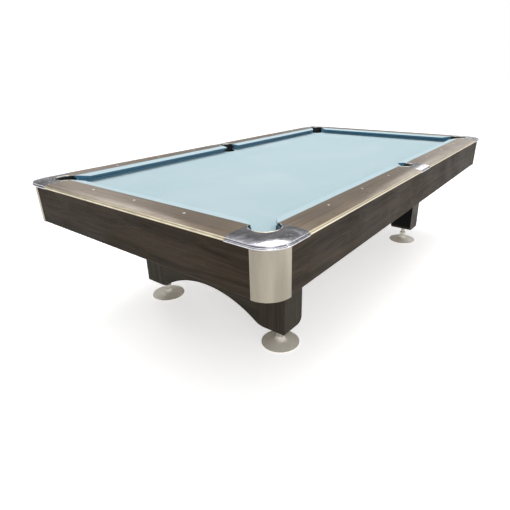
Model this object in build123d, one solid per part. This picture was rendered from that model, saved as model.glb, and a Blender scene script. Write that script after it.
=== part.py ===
from build123d import *
import math
import os

# Nine-foot pool table with drop pockets, standing on four levelling feet.
# Millimetres. The origin is on the floor under the middle of the bed, X runs along the table,
# Y across it and Z up. The head end is at -X, the foot end at +X, and the left side is at +Y.
# Rail sections are drawn as (out, up): out is the distance outside the cushion nose line, and
# up is the height above the bed cloth.

# ---- Bed --------------------------------------------------------------------------------------
playfield_length = 2540.0
playfield_width = 1270.0
bed_height = 776.0
cloth_thickness = 1.0
slate_thickness = 25.0
slate_overhang = 85.0
slate_seam = 0.2

# ---- Rails ------------------------------------------------------------------------------------
nose_up = 36.5
cushion_depth = 40.0
cushion_foot_up = 9.0
cushion_top_fall = 1.0
nose_thickness = 3.0
cloth_reach = 52.0
rail_top_up = 44.0
crown_start = 125.0
rail_outer = 180.0
rail_edge_low = 21.0
cap_edge_up = 38.5
subrail_up = 30.0
trim_width = 8.0
trim_up = 37.5
sight_out = 93.7
sight_radius = 5.5
sight_depth = 3.0
sight_pitch = 317.5

# ---- Pockets ----------------------------------------------------------------------------------
corner_mouth = 117.0
side_mouth = 130.0
corner_jaw_angle = 142.0
side_jaw_angle = 104.0
corner_hole_offset = 33.0
corner_hole_radius = 60.0
side_hole_offset = 58.0
side_hole_radius = 56.0
slate_hole_clearance = 2.0
cloth_hole_clearance = 1.0
liner_wall = 3.8
liner_clearance = 0.2
liner_depth = 56.0
liner_up = 38.0
liner_front_down = 2.0
liner_cut_distance = 14.0
bucket_clearance = 6.0
bucket_wall = 3.0
bucket_height = 150.0
bucket_flange_width = 14.0
bucket_flange_thickness = 4.0

# ---- Castings and corner plates ---------------------------------------------------------------
side_casting_half = 75.0
casting_thickness = 8.0
casting_outer = 184.0
casting_edge_up = 38.0
casting_edge_height = 3.0
casting_groove_depth = 5.0
casting_bead_radius = 5.0
casting_skirt_inner = 173.0
pocket_ring_wall = 6.0
hole_easing = 3.0
corner_centre = 80.0
plate_thickness = 3.0
plate_lap = 3.0

# ---- Aprons -----------------------------------------------------------------------------------
apron_outer = 176.0
apron_thickness = 25.0
apron_height = 195.0
apron_top_gap = 2.0
apron_round = 9.0
bracket_thickness = 4.0
bracket_length = 40.0
bracket_height = 78.0
bracket_reach = 35.0

# ---- Frame ------------------------------------------------------------------------------------
beam_height = 140.0
side_beam_width = 40.0
side_beam_gap = 8.0
end_beam_width = 40.0
end_beam_lap = 7.0
seam_beam_width = 80.0

# ---- Legs and arched panels -------------------------------------------------------------------
leg_spacing_x = 1808.0
leg_spacing_y = 904.0
leg_width_x = 162.0
leg_width_y = 162.0
leg_bottom = 114.0
leg_inner_round = 38.0
leg_edge_round = 3.0
arch_rise = 124.0
arch_corner_round = 100.0
arch_thickness = 25.0

# ---- Levelling feet ---------------------------------------------------------------------------
dish_radius = 102.5
dish_rim_height = 5.0
dish_ring_width = 14.0
dish_recess = 3.0
dish_shoulder_radius = 40.0
dish_shoulder_height = 15.0
dish_neck_radius = 24.0
dish_neck_height = 44.0
dish_neck_flare = 11.0
dish_bore_spare = 1.0
spigot_radius = 10.0
spigot_length = 30.0
running_clearance = 0.05
collar_across_flats = 42.0
collar_height = 26.0
collar_chamfer = 2.0
stud_radius = 14.0
stud_length_above_leg_bottom = 60.0
stud_bore_radius = 17.0
stud_bore_depth = 100.0
nut_plate_size = 84.0
nut_plate_thickness = 6.0
nut_radius = 22.0
nut_height = 25.0
nut_clearance = 0.2

# ---- Bolts and screws -------------------------------------------------------------------------
rail_bolt_radius = 5.0
rail_bolt_grip = 25.0
rail_bolt_out = 68.0
rail_bolt_head = 17.0
rail_bolt_head_height = 7.0
washer_radius = 14.0
washer_thickness = 2.0
rail_bolt_slate_clearance = 2.0
side_rail_bolt_places = (290.0, 620.0, 950.0)
end_rail_bolt_places = (-420.0, 0.0, 420.0)
bolt_clearance = 0.1
slate_screw_radius = 4.0
slate_screw_length = 70.0
slate_screw_head_radius = 8.0
slate_screw_head_height = 5.0
slate_screw_places = (300.0, 620.0, 1100.0)
leg_bolt_radius = 6.0
leg_bolt_length = 210.0
leg_bolt_head = 19.0
leg_bolt_head_height = 8.0
leg_bolt_recess_radius = 16.0
leg_bolt_recess_depth = 12.0
leg_bolt_spacing = 90.0
side_bracket_places = (-1050.0, -350.0, 350.0, 1050.0)
end_bracket_places = (-350.0, 350.0)

# ---- Worked-out places ------------------------------------------------------------------------
nose_x = playfield_length / 2
nose_y = playfield_width / 2
slate_top = bed_height - cloth_thickness
slate_bottom = slate_top - slate_thickness
slate_half_x = nose_x + slate_overhang
slate_half_y = nose_y + slate_overhang
slate_hole_corner = corner_hole_radius + slate_hole_clearance
slate_hole_side = side_hole_radius + slate_hole_clearance
beam_bottom = slate_bottom - beam_height
hole_inset = corner_hole_radius - corner_hole_offset
side_beam_y = nose_y - hole_inset - side_beam_gap - side_beam_width / 2
end_beam_x = nose_x - hole_inset + end_beam_lap - end_beam_width / 2
leg_x = leg_spacing_x / 2
leg_y = leg_spacing_y / 2
apron_inner = apron_outer - apron_thickness
apron_top = bed_height + rail_edge_low - apron_top_gap
apron_bottom = apron_top - apron_height
hole_past_rail = cloth_reach - corner_hole_offset
casting_arm = math.sqrt(corner_hole_radius**2 - hole_past_rail**2) - corner_hole_offset
corner_rail_end_x = nose_x - casting_arm
corner_rail_end_y = nose_y - casting_arm
corner_nose_gap = corner_mouth / math.sqrt(2)
corner_jaw_slope = 1 / math.tan(math.radians(180 - corner_jaw_angle))
side_jaw_slope = -1 / math.tan(math.radians(180 - side_jaw_angle))
plate_inner_radius = apron_outer - corner_centre
bucket_inner_corner = corner_hole_radius + bucket_clearance
bucket_inner_side = side_hole_radius + bucket_clearance
collar_top = dish_neck_height + collar_height
reach = 4 * playfield_length

ends = {"head": -1, "foot": 1}
sides = {"left": 1, "right": -1}
standing = (Align.CENTER, Align.CENTER, Align.MIN)
hanging = (Align.CENTER, Align.CENTER, Align.MAX)
parts = {}


# ---- Helpers ----------------------------------------------------------------------------------
def block(x_low, x_high, y_low, y_high, z_low, z_high):
    """A box between two corners."""
    size = Box(x_high - x_low, y_high - y_low, z_high - z_low, align=(Align.MIN,) * 3)
    return Pos(x_low, y_low, z_low) * size


def rod(radius, x, y, z_low, z_high):
    """An upright cylinder between two heights."""
    return Pos(x, y, z_low) * Cylinder(radius, z_high - z_low, align=standing)


def hexagon(across_flats, x, y, z_low, z_high):
    """An upright hexagonal prism between two heights."""
    outline = RegularPolygon(across_flats / 2, 6, major_radius=False)
    return Pos(x, y, z_low) * extrude(outline, z_high - z_low)


def group(solids):
    """Several separate solids kept in one node."""
    return Compound(children=[piece for solid in solids for piece in solid.solids()])


def quadrants(solid):
    """The same piece at the four corners, keyed by end and side, from the one at +X, +Y."""
    placed = {}
    for end, x_sign in ends.items():
        across = solid if x_sign > 0 else mirror(solid, about=Plane.YZ)
        for side, y_sign in sides.items():
            placed[(end, side)] = across if y_sign > 0 else mirror(across, about=Plane.XZ)
    return placed


def left_and_right(solid):
    """The same piece on both long sides, from the one at +Y."""
    return {"left": solid, "right": mirror(solid, about=Plane.XZ)}


def head_and_foot(solid):
    """The same piece at both ends, from the one at +X."""
    return {"head": mirror(solid, about=Plane.YZ), "foot": solid}


def run_along_x(section, start, end):
    """A rail section carried along the left long side."""
    plane = Plane((start, nose_y, bed_height), x_dir=(0, 1, 0), z_dir=(1, 0, 0))
    return extrude(plane * section, end - start)


def run_along_y(section, start, end):
    """A rail section carried along the foot end."""
    plane = Plane((nose_x, end, bed_height), x_dir=(1, 0, 0), z_dir=(0, -1, 0))
    return extrude(plane * section, end - start)


# ---- Sections, as (out, up) -------------------------------------------------------------------
def cap_section():
    """The crowned rail cap, thicker where it stands out over the apron."""
    level = Line((cloth_reach, rail_top_up), (crown_start, rail_top_up))
    crown = TangentArc((crown_start, rail_top_up), (rail_outer, cap_edge_up), tangent=(1, 0))
    below = Polyline(
        (rail_outer, cap_edge_up),
        (rail_outer, rail_edge_low),
        (apron_inner, rail_edge_low),
        (apron_inner, subrail_up),
        (cloth_reach, subrail_up),
        (cloth_reach, rail_top_up),
    )
    return make_face(level + crown + below)


def cushion_section():
    """The rubber and its cloth, which runs back over the sub-rail to the rail cap."""
    corners = (
        (0, nose_up),
        (cushion_depth, rail_top_up - cushion_top_fall),
        (cloth_reach, rail_top_up),
        (cloth_reach, subrail_up),
        (cushion_depth, subrail_up),
        (cushion_depth, cushion_foot_up),
        (nose_thickness / 2, nose_up - nose_thickness),
    )
    return make_face(Polyline(*corners, close=True))


def subrail_section():
    """The timber that carries the cushion and the cap."""
    corners = (
        (cushion_depth, 0),
        (apron_inner, 0),
        (apron_inner, subrail_up),
        (cushion_depth, subrail_up),
    )
    return make_face(Polyline(*corners, close=True))


def trim_section():
    """The half-round metal strip on the rail's outer edge."""
    top = (rail_outer, trim_up)
    bottom = (rail_outer, rail_edge_low)
    front = (rail_outer + trim_width, (trim_up + rail_edge_low) / 2)
    return make_face(ThreePointArc(top, front, bottom) + Line(bottom, top))


def casting_section():
    """A thin shell that carries the rail's crown on, with a groove and a bead at its edge."""
    under_up = rail_top_up - casting_thickness
    edge_low = casting_edge_up - casting_edge_height
    groove_out = casting_outer - casting_groove_depth
    bead_top = rail_edge_low + 2 * casting_bead_radius
    bead_front = (casting_outer + casting_bead_radius, rail_edge_low + casting_bead_radius)
    level = Line((cloth_reach, rail_top_up), (crown_start, rail_top_up))
    crown = TangentArc(
        (crown_start, rail_top_up), (casting_outer, casting_edge_up), tangent=(1, 0)
    )
    groove = Polyline(
        (casting_outer, casting_edge_up),
        (casting_outer, edge_low),
        (groove_out, edge_low),
        (groove_out, bead_top),
        (casting_outer, bead_top),
    )
    bead = ThreePointArc((casting_outer, bead_top), bead_front, (casting_outer, rail_edge_low))
    skirt = Polyline(
        (casting_outer, rail_edge_low),
        (casting_skirt_inner, rail_edge_low),
        (casting_skirt_inner, casting_edge_up - casting_thickness / 2),
    )
    under = TangentArc(
        (crown_start, under_up),
        (casting_skirt_inner, casting_edge_up - casting_thickness / 2),
        tangent=(1, 0),
    )
    inner = Polyline((crown_start, under_up), (cloth_reach, under_up), (cloth_reach, rail_top_up))
    return make_face(level + crown + groove + bead + skirt + under + inner)


# ---- Slate and cloth --------------------------------------------------------------------------
def corner_pocket_cut(radius, z_low, z_high):
    """What the corner pockets take out of the bed: a round throat, open to the corner."""
    x = nose_x + corner_hole_offset
    y = nose_y + corner_hole_offset
    throat = rod(radius, x, y, z_low, z_high) + block(x, reach, y, reach, z_low, z_high)
    return list(quadrants(throat).values())


def side_pocket_cut(radius, z_low, z_high):
    """What the side pockets take out of the bed."""
    hole = rod(radius, 0, nose_y + side_hole_offset, z_low, z_high)
    return list(left_and_right(hole).values())


def rail_bolt_places():
    """Where each rail bolt stands, as (x, y)."""
    places = []
    for sign in (1, -1):
        for along in side_rail_bolt_places:
            places.append((along, sign * (nose_y + rail_bolt_out)))
            places.append((-along, sign * (nose_y + rail_bolt_out)))
        for along in end_rail_bolt_places:
            places.append((sign * (nose_x + rail_bolt_out), along))
    return places


def slate_screw_positions():
    """Where each slate screw stands on the side beams, as (x, y)."""
    return [
        (x_sign * along, y_sign * side_beam_y)
        for along in slate_screw_places
        for x_sign in (1, -1)
        for y_sign in (1, -1)
    ]


def rail_bolt_holes(z_low, z_high):
    radius = rail_bolt_radius + rail_bolt_slate_clearance
    return [rod(radius, x, y, z_low, z_high) for x, y in rail_bolt_places()]


def make_slates():
    """Three slates, butted at seams over the cross beams."""
    width = (2 * slate_half_x - 2 * slate_seam) / 3
    first = -slate_half_x
    cuts = corner_pocket_cut(slate_hole_corner, slate_bottom, slate_top)
    cuts += side_pocket_cut(slate_hole_side, slate_bottom, slate_top)
    cuts += rail_bolt_holes(slate_bottom, slate_top)
    head_low = slate_top - slate_screw_head_height
    for x, y in slate_screw_positions():
        cuts.append(rod(slate_screw_radius + bolt_clearance, x, y, slate_bottom, slate_top))
        cuts.append(rod(slate_screw_head_radius + bolt_clearance, x, y, head_low, slate_top))
    for index, name in enumerate(("slate_head", "slate_middle", "slate_foot")):
        start = first + index * (width + slate_seam)
        slab = block(start, start + width, -slate_half_y, slate_half_y, slate_bottom, slate_top)
        parts[name] = slab - cuts


def make_bed_cloth():
    """The cloth stretched over all three slates."""
    size = (-slate_half_x, slate_half_x, -slate_half_y, slate_half_y, slate_top, bed_height)
    corner_radius = corner_hole_radius + cloth_hole_clearance
    cuts = corner_pocket_cut(corner_radius, slate_top, bed_height)
    cuts += side_pocket_cut(side_hole_radius + cloth_hole_clearance, slate_top, bed_height)
    cuts += rail_bolt_holes(slate_top, bed_height)
    parts["bed_cloth"] = block(*size) - cuts


# ---- Rails ------------------------------------------------------------------------------------
def cushion_plan(corners):
    """The cushion's outline from above, with its mitred jaws."""
    return Pos(0, 0, bed_height) * extrude(make_face(Polyline(*corners, close=True)), rail_top_up)


def make_cushions():
    nose_end_x = nose_x - corner_nose_gap
    nose_end_y = nose_y - corner_nose_gap
    corner_run = cloth_reach * corner_jaw_slope
    side_run = cloth_reach * side_jaw_slope
    side_nose = side_mouth / 2
    long_plan = (
        (side_nose, nose_y),
        (nose_end_x, nose_y),
        (nose_end_x + corner_run, nose_y + cloth_reach),
        (side_nose + side_run, nose_y + cloth_reach),
    )
    end_plan = (
        (nose_x, nose_end_y),
        (nose_x, -nose_end_y),
        (nose_x + cloth_reach, -nose_end_y - corner_run),
        (nose_x + cloth_reach, nose_end_y + corner_run),
    )
    long_run = run_along_x(cushion_section(), 0, slate_half_x)
    end_run = run_along_y(cushion_section(), -slate_half_y, slate_half_y)
    for (end, side), solid in quadrants(long_run & cushion_plan(long_plan)).items():
        parts[f"cushion_{side}_{end}"] = solid
    for end, solid in head_and_foot(end_run & cushion_plan(end_plan)).items():
        parts[f"cushion_{end}"] = solid


def make_rail_caps_and_sights():
    top = bed_height + rail_top_up
    floor = top - sight_depth
    long_places = [(sight_pitch * step, nose_y + sight_out) for step in (1, 2, 3)]
    end_places = [(nose_x + sight_out, sight_pitch * step) for step in (-1, 0, 1)]
    long_sights = [rod(sight_radius, x, y, floor, top) for x, y in long_places]
    end_sights = [rod(sight_radius, x, y, floor, top) for x, y in end_places]
    long_cap = run_along_x(cap_section(), side_casting_half, corner_rail_end_x) - long_sights
    end_cap = run_along_y(cap_section(), -corner_rail_end_y, corner_rail_end_y) - end_sights
    for (end, side), solid in quadrants(long_cap).items():
        parts[f"rail_cap_{side}_{end}"] = solid
    for end, solid in head_and_foot(end_cap).items():
        parts[f"rail_cap_{end}"] = solid
    sights = [copy for sight in long_sights for copy in quadrants(sight).values()]
    sights += [copy for sight in end_sights for copy in head_and_foot(sight).values()]
    parts["sights"] = group(sights)


def make_subrails():
    bolt_top = bed_height + rail_bolt_grip
    radius = rail_bolt_radius + bolt_clearance
    holes = [rod(radius, x, y, bed_height, bolt_top) for x, y in rail_bolt_places()]
    long_rail = run_along_x(subrail_section(), side_casting_half, corner_rail_end_x) - holes
    end_rail = run_along_y(subrail_section(), -corner_rail_end_y, corner_rail_end_y) - holes
    parts["side_subrails"] = group(quadrants(long_rail).values())
    parts["end_subrails"] = group(head_and_foot(end_rail).values())


def make_trims():
    long_trim = run_along_x(trim_section(), side_casting_half, corner_rail_end_x)
    end_trim = run_along_y(trim_section(), -corner_rail_end_y, corner_rail_end_y)
    trims = list(quadrants(long_trim).values()) + list(head_and_foot(end_trim).values())
    parts["rail_trims"] = group(trims)


def make_rail_bolts():
    """Hex bolts with washers, up through the slate into the sub-rails."""
    washer_low = slate_bottom - washer_thickness
    head_low = washer_low - rail_bolt_head_height
    bolts = []
    for x, y in rail_bolt_places():
        shank = rod(rail_bolt_radius, x, y, washer_low, bed_height + rail_bolt_grip)
        washer = rod(washer_radius, x, y, washer_low, slate_bottom)
        head = hexagon(rail_bolt_head, x, y, head_low, washer_low)
        bolts.append(shank + washer + head)
    parts["rail_bolts"] = group(bolts)


# ---- Castings, corner plates and pockets ------------------------------------------------------
def pocket_ring(radius, x, y):
    """The wall that runs down round a pocket, under a casting."""
    low = bed_height
    high = bed_height + rail_top_up - casting_thickness / 2
    return rod(radius + pocket_ring_wall, x, y, low, high) - rod(radius, x, y, low, high)


def pocket_bore(radius, x, y):
    """The hole through a casting, with its eased upper edge."""
    top = bed_height + rail_top_up
    hole = rod(radius, x, y, bed_height, top)
    easing = Pos(x, y, top) * Cone(radius, radius + hole_easing, hole_easing, align=hanging)
    return [hole, easing]


def make_corner_castings():
    x = nose_x + corner_hole_offset
    y = nose_y + corner_hole_offset
    turn_x = nose_x + corner_centre
    turn_y = nose_y + corner_centre
    outer_part = casting_section() & Pos(corner_centre, 0) * Rectangle(
        reach, reach, align=(Align.MIN, Align.CENTER)
    )
    turn_plane = Plane((nose_x, turn_y, bed_height), x_dir=(1, 0, 0), z_dir=(0, -1, 0))
    turn_axis = Axis((turn_x, turn_y, 0), (0, 0, 1))
    turn = revolve(turn_plane * outer_part, turn_axis, 90)
    end_arm = run_along_y(casting_section(), corner_rail_end_y, turn_y)
    side_arm = run_along_x(casting_section(), corner_rail_end_x, turn_x)
    bounds = (corner_rail_end_x, reach, corner_rail_end_y, reach, 0, reach)
    cloth_side = (0, nose_x + cloth_reach, 0, nose_y + cloth_reach, 0, reach)
    ring = pocket_ring(corner_hole_radius, x, y) & block(*bounds)
    casting = turn + end_arm + side_arm + (ring - block(*cloth_side))
    casting -= pocket_bore(corner_hole_radius, x, y)
    for (end, side), solid in quadrants(casting).items():
        parts[f"corner_casting_{end}_{side}"] = solid


def make_side_castings():
    y = nose_y + side_hole_offset
    bridge = run_along_x(casting_section(), -side_casting_half, side_casting_half)
    cloth_side = (-reach, reach, 0, nose_y + cloth_reach, 0, reach)
    ring = pocket_ring(side_hole_radius, 0, y) - block(*cloth_side)
    casting = (bridge + ring) - pocket_bore(side_hole_radius, 0, y)
    for side, solid in left_and_right(casting).items():
        parts[f"side_casting_{side}"] = solid


def make_corner_plates():
    """Curved plates that close the corners between the aprons, lapped over their faces."""
    x = nose_x + corner_centre
    y = nose_y + corner_centre
    low = apron_bottom + apron_top_gap
    high = bed_height + rail_edge_low
    inner = plate_inner_radius
    shell = rod(inner + plate_thickness, x, y, low, high) - rod(inner, x, y, low, high)
    shell &= block(x, reach, y, reach, low, high)
    end_face = nose_x + apron_outer
    side_face = nose_y + apron_outer
    end_lap = block(end_face, end_face + plate_thickness, y - plate_lap, y, low, high)
    side_lap = block(x - plate_lap, x, side_face, side_face + plate_thickness, low, high)
    for (end, side), solid in quadrants(shell + end_lap + side_lap).items():
        parts[f"corner_plate_{end}_{side}"] = solid


def pocket_liner(radius, x, y):
    """A moulded sleeve through the slate, standing up behind the pocket."""
    outer = radius - liner_clearance
    low = bed_height - liner_depth
    high = bed_height + liner_up
    return rod(outer, x, y, low, high) - rod(outer - liner_wall, x, y, low, high)


def make_pocket_liners():
    x = nose_x + corner_hole_offset
    y = nose_y + corner_hole_offset
    front_low = bed_height - liner_front_down
    front = block(-reach, 0, -reach, reach, front_low, reach)
    corner_front = Pos(x, y, 0) * Rot(0, 0, 45) * Pos(-liner_cut_distance, 0, 0) * front
    corner_liner = pocket_liner(corner_hole_radius, x, y) - corner_front
    side_y = nose_y + side_hole_offset
    side_front = block(-reach, reach, 0, nose_y + cloth_reach, front_low, reach)
    side_liner = pocket_liner(side_hole_radius, 0, side_y) - side_front
    parts["corner_pocket_liners"] = group(quadrants(corner_liner).values())
    parts["side_pocket_liners"] = group(left_and_right(side_liner).values())


def pocket_bucket(inner, x, y):
    """An open cup under the slate that catches the balls, with a fixing flange."""
    outer = inner + bucket_wall
    flange = outer + bucket_flange_width
    low = slate_bottom - bucket_height
    cup = rod(outer, x, y, low, slate_bottom)
    cup += rod(flange, x, y, slate_bottom - bucket_flange_thickness, slate_bottom)
    return cup - rod(inner, x, y, low + bucket_wall, slate_bottom)


def make_pocket_buckets():
    x = nose_x + corner_hole_offset
    y = nose_y + corner_hole_offset
    corner_bucket = pocket_bucket(bucket_inner_corner, x, y)
    side_bucket = pocket_bucket(bucket_inner_side, 0, nose_y + side_hole_offset)
    parts["corner_pocket_buckets"] = group(quadrants(corner_bucket).values())
    parts["side_pocket_buckets"] = group(left_and_right(side_bucket).values())


# ---- Aprons -----------------------------------------------------------------------------------
def make_aprons():
    half_x = nose_x + corner_centre
    half_y = nose_y + corner_centre
    side_outer = nose_y + apron_outer
    end_outer = nose_x + apron_outer
    side_size = (-half_x, half_x, side_outer - apron_thickness, side_outer)
    end_size = (end_outer - apron_thickness, end_outer, -half_y, half_y)
    side_apron = block(*side_size, apron_bottom, apron_top)
    end_apron = block(*end_size, apron_bottom, apron_top)
    side_edge = side_apron.edges().filter_by(Axis.X).sort_by(Axis.Z)[:2].sort_by(Axis.Y)[-1]
    end_edge = end_apron.edges().filter_by(Axis.Y).sort_by(Axis.Z)[:2].sort_by(Axis.X)[-1]
    for side, solid in left_and_right(fillet(side_edge, apron_round)).items():
        parts[f"apron_{side}"] = solid
    for end, solid in head_and_foot(fillet(end_edge, apron_round)).items():
        parts[f"apron_{end}"] = solid


def make_apron_brackets():
    """Steel angles that hang the aprons from the sub-rails."""
    half = bracket_length / 2
    shelf_low = bed_height - bracket_thickness
    drop_low = bed_height - bracket_height
    brackets = []
    for along in side_bracket_places:
        inner = nose_y + apron_inner - bracket_reach
        outer = nose_y + apron_inner
        shelf = block(along - half, along + half, inner, outer, shelf_low, bed_height)
        back = outer - bracket_thickness
        drop = block(along - half, along + half, back, outer, drop_low, bed_height)
        brackets += left_and_right(shelf + drop).values()
    for along in end_bracket_places:
        inner = nose_x + apron_inner - bracket_reach
        outer = nose_x + apron_inner
        shelf = block(inner, outer, along - half, along + half, shelf_low, bed_height)
        back = outer - bracket_thickness
        drop = block(back, outer, along - half, along + half, drop_low, bed_height)
        brackets += head_and_foot(shelf + drop).values()
    parts["apron_brackets"] = group(brackets)


# ---- Frame ------------------------------------------------------------------------------------
def leg_bolt_places():
    """Where the leg bolts of the foot, left leg stand, as (x, y)."""
    half = leg_bolt_spacing / 2
    return [(leg_x - half, leg_y), (leg_x + half, leg_y)]


def make_frame():
    inner_y = side_beam_y - side_beam_width / 2
    outer_y = side_beam_y + side_beam_width / 2
    outer_x = end_beam_x + end_beam_width / 2
    levels = (beam_bottom, slate_bottom)
    pilot_low = slate_top - slate_screw_length
    screw_radius = slate_screw_radius + bolt_clearance
    pilots = [
        rod(screw_radius, x, y, pilot_low, slate_bottom) for x, y in slate_screw_positions()
    ]
    side_beam = block(-outer_x, outer_x, inner_y, outer_y, *levels) - pilots
    parts["frame_side_beams"] = group(left_and_right(side_beam).values())

    seam_x = (slate_half_x * 2 - slate_seam * 2) / 6 + slate_seam / 2
    half_leg = leg_width_x / 2
    half_seam = seam_beam_width / 2
    recess_floor = slate_bottom - leg_bolt_recess_depth
    holes = []
    for x, y in leg_bolt_places():
        hole = rod(leg_bolt_radius + bolt_clearance, x, y, *levels)
        hole += rod(leg_bolt_recess_radius, x, y, recess_floor, slate_bottom)
        holes += left_and_right(hole).values()
    end_beam = block(outer_x - end_beam_width, outer_x, -inner_y, inner_y, *levels)
    bearer = block(leg_x - half_leg, leg_x + half_leg, -inner_y, inner_y, *levels) - holes
    seam_beam = block(seam_x - half_seam, seam_x + half_seam, -inner_y, inner_y, *levels)
    crosses = []
    for beam in (end_beam, bearer, seam_beam):
        crosses += head_and_foot(beam).values()
    parts["frame_cross_beams"] = group(crosses)


def make_slate_screws():
    screws = []
    head_low = slate_top - slate_screw_head_height
    for x, y in slate_screw_positions():
        shank = rod(slate_screw_radius, x, y, slate_top - slate_screw_length, head_low)
        screws.append(shank + rod(slate_screw_head_radius, x, y, head_low, slate_top))
    parts["slate_screws"] = group(screws)


# ---- Legs -------------------------------------------------------------------------------------
def arch_void():
    """The space under the arch between two legs, eased into the flat leg bottoms."""
    half_span = leg_y - leg_width_y / 2
    radius = (half_span**2 + arch_rise**2) / (2 * arch_rise)
    centre_z = leg_bottom + arch_rise - radius
    corner_z = leg_bottom + arch_corner_round
    corner_y = math.sqrt((radius + arch_corner_round) ** 2 - (corner_z - centre_z) ** 2)
    share = radius / (radius + arch_corner_round)
    touch = (share * corner_y, centre_z + share * (corner_z - centre_z))
    mirrored_touch = (-touch[0], touch[1])
    arch = ThreePointArc(touch, (0, leg_bottom + arch_rise), mirrored_touch)
    near_corner = TangentArc((corner_y, leg_bottom), touch, tangent=(-1, 0))
    far_corner = TangentArc((-corner_y, leg_bottom), mirrored_touch, tangent=(1, 0))
    ground = Polyline((corner_y, leg_bottom), (corner_y, 0), (-corner_y, 0), (-corner_y, leg_bottom))
    face = Plane((0, 0, 0), x_dir=(0, 1, 0), z_dir=(1, 0, 0)) * make_face(
        arch + near_corner + far_corner + ground
    )
    return extrude(face, reach)


def make_legs_and_arches():
    x_low = leg_x - leg_width_x / 2
    x_high = leg_x + leg_width_x / 2
    y_low = leg_y - leg_width_y / 2
    y_high = leg_y + leg_width_y / 2
    post = block(x_low, x_high, y_low, y_high, leg_bottom, beam_bottom)
    inner_edge = post.edges().filter_by(Axis.Y).sort_by(Axis.Z)[:2].sort_by(Axis.X)[0]
    post = fillet(inner_edge, leg_inner_round)
    outer_edges = post.edges().filter_by(Axis.Z).sort_by(Axis.Y)[-2:]
    post = fillet(outer_edges, leg_edge_round)
    half_plate = nut_plate_size / 2 + nut_clearance
    plate_top = leg_bottom + nut_plate_thickness
    plate_span = (leg_x - half_plate, leg_x + half_plate, leg_y - half_plate, leg_y + half_plate)
    nut_top = plate_top + nut_height + nut_clearance
    cuts = [
        arch_void(),
        block(*plate_span, leg_bottom, plate_top),
        rod(nut_radius + nut_clearance, leg_x, leg_y, leg_bottom, nut_top),
        rod(stud_bore_radius, leg_x, leg_y, leg_bottom, leg_bottom + stud_bore_depth),
    ]
    bolt_low = slate_bottom - leg_bolt_recess_depth - leg_bolt_length
    for x, y in leg_bolt_places():
        cuts.append(rod(leg_bolt_radius + bolt_clearance, x, y, bolt_low, beam_bottom))
    for (end, side), solid in quadrants(post - cuts).items():
        parts[f"leg_{end}_{side}"] = solid
    panel = block(x_high - arch_thickness, x_high, -y_low, y_low, leg_bottom, beam_bottom)
    for end, solid in head_and_foot(panel - arch_void()).items():
        parts[f"arch_panel_{end}"] = solid


def make_leg_bolts():
    seat = slate_bottom - leg_bolt_recess_depth
    bolts = []
    for x, y in leg_bolt_places():
        shank = rod(leg_bolt_radius, x, y, seat - leg_bolt_length, seat)
        head = hexagon(leg_bolt_head, x, y, seat, seat + leg_bolt_head_height)
        bolts += quadrants(shank + head).values()
    parts["leg_bolts"] = group(bolts)


# ---- Levelling feet ---------------------------------------------------------------------------
def make_nut_plates():
    """Plates let into the leg bottoms, each with the nut that the stud turns in."""
    half = nut_plate_size / 2
    plate_top = leg_bottom + nut_plate_thickness
    nut_top = plate_top + nut_height
    span = (leg_x - half, leg_x + half, leg_y - half, leg_y + half)
    plate = block(*span, leg_bottom, plate_top)
    plate += rod(nut_radius, leg_x, leg_y, plate_top, nut_top)
    plate -= rod(stud_radius + running_clearance, leg_x, leg_y, leg_bottom, nut_top)
    parts["leveller_nut_plates"] = group(quadrants(plate).values())


def make_dishes():
    """Wide shallow dishes that stand on the floor and swivel on the studs."""
    ring_inner = dish_radius - dish_ring_width
    bore_radius = spigot_radius + running_clearance
    bore_floor = dish_neck_height - spigot_length - dish_bore_spare
    flare_top = dish_shoulder_height + dish_neck_flare
    shoulder = (dish_shoulder_radius, dish_shoulder_height)
    slope = (dish_shoulder_radius - dish_radius, dish_shoulder_height - dish_rim_height)
    rim = Polyline(
        (0, dish_recess),
        (ring_inner, dish_recess),
        (ring_inner, 0),
        (dish_radius, 0),
        (dish_radius, dish_rim_height),
        shoulder,
    )
    flare = TangentArc(shoulder, (dish_neck_radius, flare_top), tangent=slope)
    neck = Polyline(
        (dish_neck_radius, flare_top),
        (dish_neck_radius, dish_neck_height),
        (bore_radius, dish_neck_height),
        (bore_radius, bore_floor),
        (0, bore_floor),
        (0, dish_recess),
    )
    half_section = Plane.XZ * make_face(rim + flare + neck)
    dish = Pos(leg_x, leg_y, 0) * revolve(half_section, Axis.Z, 360)
    for (end, side), solid in quadrants(dish).items():
        parts[f"leveller_dish_{end}_{side}"] = solid


def make_studs():
    """Studs that screw into the legs, turned by the hexagonal collar."""
    spigot = rod(spigot_radius, leg_x, leg_y, dish_neck_height - spigot_length, dish_neck_height)
    collar = hexagon(collar_across_flats, leg_x, leg_y, dish_neck_height, collar_top)
    collar = chamfer(collar.faces().sort_by(Axis.Z)[-1].edges(), collar_chamfer)
    top = leg_bottom + stud_length_above_leg_bottom
    stud = spigot + collar + rod(stud_radius, leg_x, leg_y, collar_top, top)
    for (end, side), solid in quadrants(stud).items():
        parts[f"leveller_stud_{end}_{side}"] = solid


# ---- Build and write --------------------------------------------------------------------------
make_slates()
make_bed_cloth()
make_cushions()
make_rail_caps_and_sights()
make_subrails()
make_trims()
make_rail_bolts()
make_corner_castings()
make_side_castings()
make_corner_plates()
make_pocket_liners()
make_pocket_buckets()
make_aprons()
make_apron_brackets()
make_frame()
make_slate_screws()
make_legs_and_arches()
make_leg_bolts()
make_nut_plates()
make_dishes()
make_studs()

os.makedirs("parts", exist_ok=True)
for name, shape in parts.items():
    export_step(shape, f"parts/{name}.step")
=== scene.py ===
import math

import bmesh
import bpy
from mathutils import Matrix, Vector


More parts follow.
